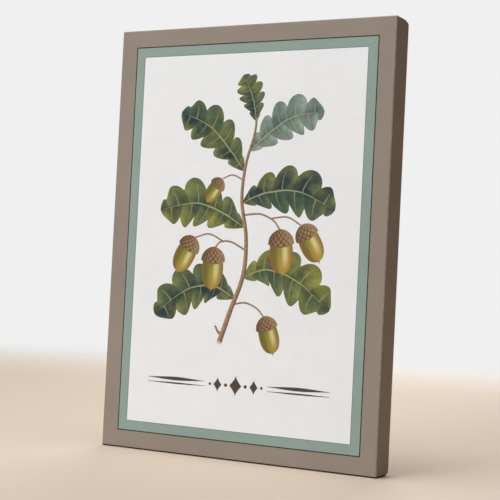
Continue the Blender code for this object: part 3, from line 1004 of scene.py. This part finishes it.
def bark_colour(at):
    """Bark: lit on its left, dark on its right, with streaks along it."""
    colour = blend(ramp(at.across, -0.7, 0.9), BARK_LIGHT, BARK_DARK)
    return shaded(blend(0.45, colour, BARK), mottle(at.cloth, 220.0, 0.78, 1.18, 5.0),
                  ramp(at.off_rib, 0.75, 1.0, 1.0, 0.72))


def nut_colour(at):
    """A nut's shell, made round by light and shade."""
    ripe = maths("ADD", ramp(at.along, 0.15, 0.95, -0.2, 0.55), at.tone, clamp=True)
    streaks = mottle(stretched(at.film, (2.5, 16.0, 1.0)), 1.0, 0.82, 1.16)
    colour = shaded(blend(ripe, NUT_OLIVE, NUT_GOLD), streaks)
    colour = blend(ramp(at.across, 0.0, 0.75, 0.0, 0.70), colour, NUT_SHADE)
    colour = blend(ramp(at.off_rib, 0.62, 1.0, 0.0, 0.80), colour, NUT_RIM)
    ends = times(ramp(at.along, 0.1, 0.4), ramp(at.along, 0.55, 0.95, 1.0, 0.0))
    from_light = maths("ABSOLUTE", plus(at.across, 0.34))
    return blend(times(ramp(from_light, 0.0, 0.42, 0.72, 0.0), ends), colour, NUT_LIGHT)


def cup_colour(at):
    """A cup covered in scales: two sets of slanting lines that cross."""
    around = maths("ARCSINE", times(at.across, 0.98))
    waves = []
    for slant in (CUP_SCALES, -CUP_SCALES):
        turn = maths("MULTIPLY_ADD", around, slant, times(at.along, CUP_SCALES * 1.3))
        waves.append(maths("ABSOLUTE", maths("SINE", turn)))
    colour = blend(ramp(times(*waves), 0.02, 0.5), CUP_DARK, CUP)
    colour = blend(ramp(at.across, 0.0, 1.0, 0.0, 0.6), colour, CUP_DARK)
    colour = blend(ramp(at.across, -0.8, -0.1, 0.30, 0.0), colour, BARK_LIGHT)
    return shaded(colour, mottle(at.cloth, 160.0, 0.86, 1.12))


def plain_colour(at, colour):
    """One even ink."""
    return shaded(colour, mottle(at.cloth, 140.0, 0.90, 1.10))


BARK_PAINT = paint("bark_paint", bark_colour)
NUT_PAINT = paint("nut_paint", nut_colour)
CUP_PAINT = paint("cup_paint", cup_colour)
CUT_WOOD_PAINT = paint("cut_wood_paint", plain_colour, CUT_WOOD)
print("branch paints:", BARK_PAINT.name, NUT_PAINT.name, CUP_PAINT.name, CUT_WOOD_PAINT.name)

# %% [markdown]
# Now the plate is composed, in millimetres from the middle of the print's lower edge. The branch
# rises in a slow curve, and its leaves stand in turn to the left and the right. Each outline could
# be drawn by hand, but a lobed leaf is a plain leaf's width times a wave, with as many waves as
# veins. Pieces that lie in front get more steps of ink.

# %% Compose the branch and its leaves
LEAF_ROWS = 110
LOBE_DEPTH = 0.52
LEAST_WIDTH = 0.25
CUT_WAY = (0.32, 0.947)


def twig(points, start_width, end_width, height, count):
    """A tapering stroke of bark."""
    half = np.linspace(start_width, end_width, count) / 2
    return shape(BARK_PAINT, height, smooth_line(points, count), half)


def cut_end(centre, wide, tall, height):
    """The pale oval where the branch was cut, square to the branch's start."""
    share = np.linspace(-1, 1, 13)
    half = wide / 2 * np.sqrt(np.maximum(1 - share ** 2, 0.001))
    return shape(CUT_WOOD_PAINT, height, centre + np.outer(share * tall / 2, CUT_WAY), half)


def lobed_width(half_width, shift):
    """Widths of a lobed leaf from its stalk to its tip."""
    along = np.linspace(0, 1, LEAF_ROWS)
    plain = along ** 0.85 * (1 - along) ** 0.58
    wave = np.abs(np.sin(math.pi * (along * LOBES + shift))) ** 0.55
    fade = smooth_step(along, 0.02, 0.22) * smooth_step(1 - along, 0.0, 0.10)
    lobes = 1 - LOBE_DEPTH * fade * (1 - wave)
    return np.maximum(half_width * plain / plain.max() * lobes, LEAST_WIDTH)


def leaf(name, rib, half_width, height, tone, finish=LEAF_PAINT):
    """A lobed leaf on a short stalk."""
    left, right = lobed_width(half_width, 0.0), lobed_width(half_width, LOBE_SHIFT)
    rib = smooth_line(rib, LEAF_ROWS)
    film("leaf_" + name, [shape(finish, height, rib, left, right, columns=15, sweep=0.34)], tone)


BRANCH = ((-34, 186), (-17, 236), (4, 296), (6, 356), (-5, 416), (-1, 472), (12, 520), (15, 548))
film("branch", [
    twig(BRANCH, 9.0, 3.4, 6, 110),
    twig(((-29, 199), (-37, 203), (-43, 213)), 5.5, 3.0, 5, 12),
    cut_end(BRANCH[0], 9.0, 4.4, 7),
])
leaf("low_left", ((-9, 258), (-50, 276), (-100, 268), (-160, 226)), 38, 4, 0.30)
leaf("low_right", ((3, 292), (46, 306), (100, 290), (158, 246)), 40, 4, 0.72)
leaf("mid_left", ((2, 372), (-42, 396), (-92, 410), (-158, 398)), 41, 3, 0.62)
leaf("mid_right", ((-4, 412), (40, 428), (96, 430), (160, 402)), 40, 3, 0.22)
leaf("high_left", ((-3, 462), (-34, 500), (-72, 536), (-126, 560)), 36, 3, 0.40)
leaf("high_right", ((4, 494), (40, 524), (80, 548), (134, 556)), 34, 3, 0.55, UNDER_PAINT)
leaf("top", ((14, 542), (10, 566), (2, 590), (-12, 618)), 24, 5, 0.35)

# %% [markdown]
# The nuts hang in pairs between the leaves, each on a twig of its own. A nut is three shapes laid
# over each other: its body, the short point at its tip and the cup, whose lower rim is bowed so
# that it seems to reach round the nut. The tone gives each group its own ripeness.

# %% Hang the nuts
NUT_ROWS = 36
CUP_ROWS = 20
TIP_ROWS = 6


def nut(base, angle, length, height):
    """A nut and its cup. base is where its stalk ends, and angle its direction in degrees."""
    way = (math.cos(math.radians(angle)), math.sin(math.radians(angle)))

    def line(start, end, count):
        return base + np.outer(np.linspace(start, end, count) * length, way)

    along = np.linspace(0, 1, NUT_ROWS)
    body = length * 0.31 * np.maximum(1 - np.abs(2 * along - 1) ** 2.5, 0) ** 0.5
    body = np.maximum(body, np.where(along > 0.5, length * 0.035, 0.3))
    deep = np.linspace(0, 1, CUP_ROWS)
    cup = length * 0.345 * np.maximum(1 - (1 - deep) ** 2.2, 0.002) ** 0.6
    bow = length * 0.09 * deep[:, None]
    tip = np.linspace(length * 0.035, 0.3, TIP_ROWS)
    return [
        shape(NUT_PAINT, height, line(0.05, 1.05, NUT_ROWS), body, columns=13),
        shape(BARK_PAINT, height - 1, line(1.03, 1.11, TIP_ROWS), tip),
        shape(CUP_PAINT, height + 1, line(-0.03, 0.33, CUP_ROWS), cup, columns=13, bulge=bow),
    ]


film("nuts_left", [
    twig(((5, 336), (-20, 348), (-40, 348), (-50, 338)), 3.0, 2.6, 5, 24),
    twig(((-34, 348), (-62, 360), (-88, 354)), 2.6, 2.4, 4, 18),
    *nut((-52, 338), -92, 64, 7),
    *nut((-91, 354), -118, 60, 9),
], 0.30)
film("nuts_right", [
    twig(((0, 392), (30, 394), (54, 384), (66, 370)), 3.0, 2.6, 5, 24),
    twig(((48, 387), (78, 390), (102, 378)), 2.6, 2.4, 4, 18),
    *nut((68, 369), -86, 66, 7),
    *nut((105, 377), -60, 60, 9),
], 0.48)
film("nuts_low", [
    twig(((-14, 248), (10, 252), (32, 244), (44, 232)), 2.8, 2.4, 5, 24),
    *nut((46, 231), -72, 56, 7),
], 0.15)
film("nuts_high", [
    twig(((-4, 448), (-24, 456), (-42, 450)), 2.4, 2.1, 5, 18),
    *nut((-44, 449), -126, 42, 7),
], 0.05)

# %% [markdown]
# Under the plate runs a plain printer's ornament: two swelled rules, which are thin at their ends
# and full in the middle, on each side of a row of lozenges and dots. It could be one image with
# clear parts, but as one film of ink it stays as crisp as the borders.

# %% Print the ornament under the branch
ORNAMENT_UP = 119.0
ORNAMENT_REACH = 166.0
RULE_ROWS = 60
LOZENGE_ROWS = 31
DOT_ROWS = 17
RULE_INK = paint("ornament_ink", plain_colour, ink(78, 64, 54))


def inked(rib, half):
    """A shape of the ornament, from its rib and its half widths."""
    return shape(RULE_INK, 2, rib, half, columns=3)


def rule(start, end, up, thickness):
    """A swelled rule between two places, as thick as given where it is fullest."""
    swell = np.sin(np.linspace(0, math.pi, RULE_ROWS)) ** 1.5
    return inked(np.linspace((start, up), (end, up), RULE_ROWS), 0.35 + swell * thickness / 2)


def lozenge(centre, width, tall):
    """A lozenge with sides that curve in."""
    up = np.linspace(-1, 1, LOZENGE_ROWS)
    half = np.maximum(width / 2 * (1 - np.abs(up)) ** 1.5, 0.12)
    return inked(np.column_stack([np.full(len(up), centre), ORNAMENT_UP + up * tall / 2]), half)


def dot(centre, size):
    """A round dot."""
    angles = np.linspace(0, math.pi, DOT_ROWS)
    half = np.maximum(np.sin(angles) * size / 2, 0.05)
    across = centre - np.cos(angles) * size / 2
    return inked(np.column_stack([across, np.full(DOT_ROWS, ORNAMENT_UP)]), half)


ornament = [lozenge(0, 22, 33)]
for side in (-1, 1):
    ornament += [dot(side * 18, 5.6), lozenge(side * 33, 15, 24), dot(side * 47, 4.6)]
    left, right = sorted((side * 57, side * ORNAMENT_REACH))
    ornament += [rule(left, right, ORNAMENT_UP + 3.2, 5.0), rule(left, right, ORNAMENT_UP - 4.2, 1.9)]
film("ornament", ornament)
print("ornament of", len(ornament), "shapes")

# %% [markdown]
# The frame is sawn from pine. A board shows the tree's rings as long stripes, and they show as arcs
# on the cut ends. A picture of wood could be wrapped on, but it would not match at the ends. A solid
# pattern does: the distance from a line beside the bar gives the rings, noise bends them along the
# bar, and a knot pushes them aside.

# %% Mix the pine
RING = 2.9 * MM
RING_SWAY = 14 * MM
PITH_OUT = 46 * MM
PITH_BEHIND = 30 * MM
PALE_PINE = ink(226, 196, 152)
DARK_PINE = ink(190, 142, 92)
KNOT_DARK = ink(112, 70, 42)


def along_grain(place, along, slow, fast):
    """A place for a pattern that is drawn out along one axis."""
    return stretched(place, [slow if axis == along else fast for axis in "XYZ"])


def distance(first, second):
    """How far a point is from a line, from its two distances square to each other."""
    return maths("SQRT", plus(times(first, first), times(second, second)))


def pine(name, along, across, pith, knots):
    """Pine whose grain runs along one axis, round a pith line beside the bar."""
    finish, tree, shader = new_finish(name, 0.55, 0.35)
    place = object_place(tree)
    axes = add(tree, "SeparateXYZ", {0: place}).outputs
    drawn = along_grain(place, along, 1.0, 9.0)
    sway = times(minus(noise(drawn, 4.0), 0.5), RING_SWAY)
    radius = plus(distance(minus(axes[across], pith[0]), minus(axes["Y"], pith[1])), sway)
    knot_shade = 0.0
    for where, offset, size in knots:
        gap = distance(times(minus(axes[along], where), 0.6), minus(axes[across], offset))
        radius = plus(radius, ramp(gap, 0.0, size * 4, size * 1.6, 0.0))
        knot_shade = plus(knot_shade, ramp(gap, size * 0.7, size * 1.15, 1.0, 0.0))
    rings = maths("FRACT", maths("DIVIDE", radius, RING))
    stripe = times(ramp(rings, 0.35, 0.92), ramp(rings, 0.95, 1.0, 1.0, 0.0))
    fibre = noise(along_grain(place, along, 30.0, 1400.0), 1.0, 3.0)
    wood = blend(times(stripe, 0.75), PALE_PINE, DARK_PINE)
    wood = shaded(wood, ramp(fibre, 0.3, 0.7, 0.88, 1.08), mottle(drawn, 2.2, 0.92, 1.06, 3.0))
    wood = blend(times(knot_shade, 0.85), wood, KNOT_DARK)
    dress(shader, wood, plus(fibre, stripe), 0.25, 0.15 * MM)
    return finish


print(f"a ring every {RING * 1000:.1f} mm")

# %% [markdown]
# One finish could serve all four bars, but no two boards are alike. The level and the upright ones
# differ in the direction of their grain, and each has its own pith line and knots. The slots of the
# fixed parts take the finishes, and nothing else about those parts changes.

# %% Finish the bars
def finish_nodes(finish, *patterns):
    """Gives a finish to every fixed part whose name fits. Returns how many there are."""
    found = [node for name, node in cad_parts.items()
             if any(fnmatch(name, pattern) for pattern in patterns)]
    for node in found:
        for slot in node.material_slots:
            slot.material = finish
    return len(found)


side_out, front_pith, back_pith = WIDTH / 2 + PITH_OUT, FRONT - PITH_BEHIND, BACK + PITH_BEHIND
bars = {
    "bar_top": pine("pine_top", "X", "Z", (HEIGHT + PITH_OUT, front_pith),
                    ((-0.11, HEIGHT - 22 * MM, 5 * MM),)),
    "bar_bottom": pine("pine_bottom", "X", "Z", (-PITH_OUT * 0.7, back_pith),
                       ((0.14, 17 * MM, 4 * MM),)),
    "bar_left": pine("pine_left", "Z", "X", (-side_out, BACK + PITH_BEHIND * 1.4),
                     ((0.47, -WIDTH / 2 + 24 * MM, 4.5 * MM), (0.16, -WIDTH / 2 + 12 * MM, 3 * MM))),
    "bar_right": pine("pine_right", "Z", "X", (side_out * 0.9, front_pith * 0.8),
                      ((0.28, WIDTH / 2 - 15 * MM, 5 * MM),)),
}
print("pine bars finished:", sum(finish_nodes(finish, name) for name, finish in bars.items()))

# %% [markdown]
# The wedges are beech, which is harder than pine and closer in its grain. Its mark is the short
# dark dashes along the grain. Drawn-out noise gives them when only its peaks are used, so the same
# helpers serve, with a wedge's own direction.

# %% Finish the beech wedges
BEECH = ink(214, 172, 132)
BEECH_DASH = ink(158, 108, 74)


def beech(name, along):
    """Beech with its dashes along one axis."""
    finish, tree, shader = new_finish(name, 0.5, 0.35)
    place = object_place(tree)
    dash = noise(along_grain(place, along, 120.0, 1300.0), 1.0)
    wood = blend(ramp(dash, 0.55, 0.72), BEECH, BEECH_DASH)
    dress(shader, shaded(wood, mottle(place, 60.0, 0.92, 1.06, 3.0)), dash, 0.2, 0.1 * MM)
    return finish


print("beech wedges finished:", finish_nodes(beech("beech_level", "X"), "key_*_level"),
      "level and", finish_nodes(beech("beech_upright", "Z"), "key_*_upright"), "upright")

# %% [markdown]
# Staples are cut from bright galvanised wire, and the hanger is pressed from zinc plated steel. Both
# are metals, so their colour is the colour of their reflections. A metal with one even roughness
# looks like plastic, so fine noise varies it, drawn out along the hanger as rolling does.

# %% Finish the steel
def steel(name, colour, roughness, stretch):
    """Bright steel with fine marks, drawn out by a scale for each axis, and a few dull spots."""
    finish, tree, shader = new_finish(name, roughness, 0.5, 1.0)
    place = object_place(tree)
    spotted = shaded(colour, ramp(noise(place, 420.0), 0.35, 0.75, 1.0, 0.8))
    streak = noise(stretched(place, stretch), 1.0, 3.0)
    varied = ramp(streak, 0.3, 0.7, roughness - 0.08, roughness + 0.12)
    tree.links.new(varied, shader.inputs["Roughness"])
    dress(shader, spotted, streak, 0.12, 0.05 * MM)
    return finish


WIRE = steel("galvanised_wire", ink(196, 198, 200), 0.34, (2500.0, 2500.0, 2500.0))
ZINC = steel("zinc_plate", ink(206, 205, 198), 0.30, (90.0, 2600.0, 2600.0))
print(finish_nodes(WIRE, "staple_*"), "staples and",
      finish_nodes(ZINC, "sawtooth_hanger*", "hanger_nail*"), "hanger parts in steel")
